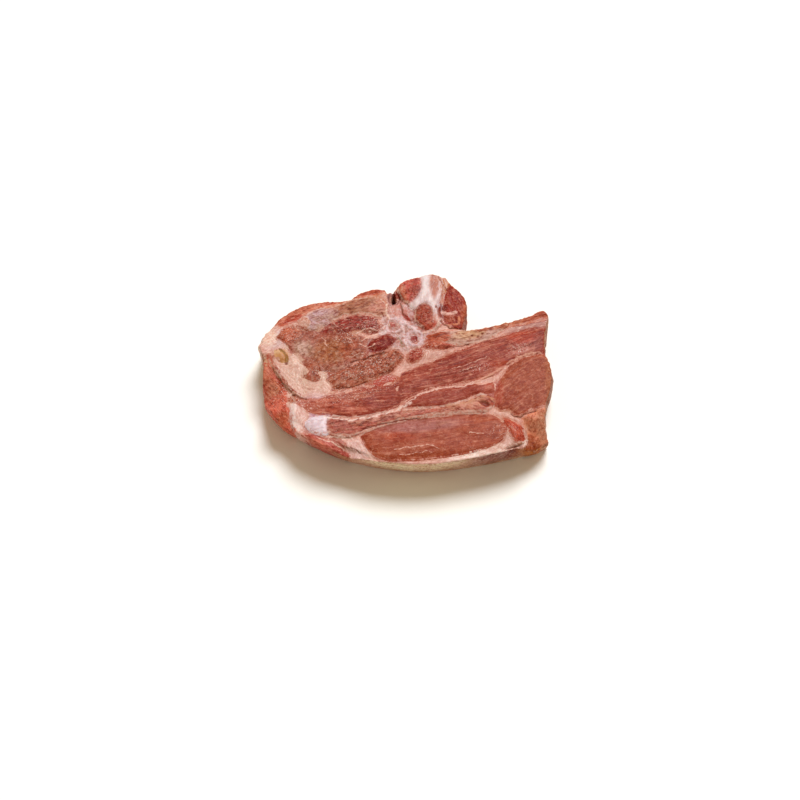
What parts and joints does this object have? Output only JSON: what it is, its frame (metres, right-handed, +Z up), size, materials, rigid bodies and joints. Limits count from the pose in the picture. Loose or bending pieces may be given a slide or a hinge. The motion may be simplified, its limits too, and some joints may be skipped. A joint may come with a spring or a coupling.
{
  "type": "goat shoulder",
  "caption": "Thick raw slice of goat shoulder, bone in, lying flat: red muscles set in pale fat seams, with the shoulder blade, a rib and the edge of the backbone cut through.",
  "frame": {"origin": "middle of the slice's bounding box, on the surface that it rests on", "axes": "+X along the slice's length, from the neck end to the outer end; +Y from the skin side to the backbone side; +Z up, through the slice's thickness"},
  "size_m": [0.201, 0.154, 0.0281],
  "materials": {
    "lean_meat": "moist raw meat, satin with small wet glints",
    "fat": "soft pale pink fat, waxy",
    "bone": "sawn spongy bone, matt and slightly damp",
    "cartilage": "smooth bluish white cartilage, slightly glossy",
    "ligament": "firm yellow sinew, satin"
  },
  "bodies": {
    "root": {"muscle_neck": "lean_meat", "muscle_breast_tip": "lean_meat", "muscle_infraspinatus": "lean_meat", "muscle_supraspinatus": "lean_meat", "muscle_subscapularis": "lean_meat", "muscle_teres": "lean_meat", "muscle_serratus": "lean_meat", "muscle_chest": "lean_meat", "muscle_slip_left": "lean_meat", "muscle_slip_right": "lean_meat", "muscle_spinal_upper": "lean_meat", "muscle_spinal_oval": "lean_meat", "muscle_spinal_lower": "lean_meat", "muscle_chuck": "lean_meat", "muscle_chuck_small": "lean_meat", "muscle_between_ribs": "lean_meat", "muscle_backbone": "lean_meat", "muscle_top_strip": "lean_meat", "blade_bone": "bone", "rib_bone": "bone", "rib_end": "bone", "vertebra_body": "bone", "vertebra_arch": "bone", "blade_cartilage": "cartilage", "vertebra_cartilage": "cartilage", "neck_ligament": "ligament", "fat_seams": "fat"}
  },
  "joints": []
}
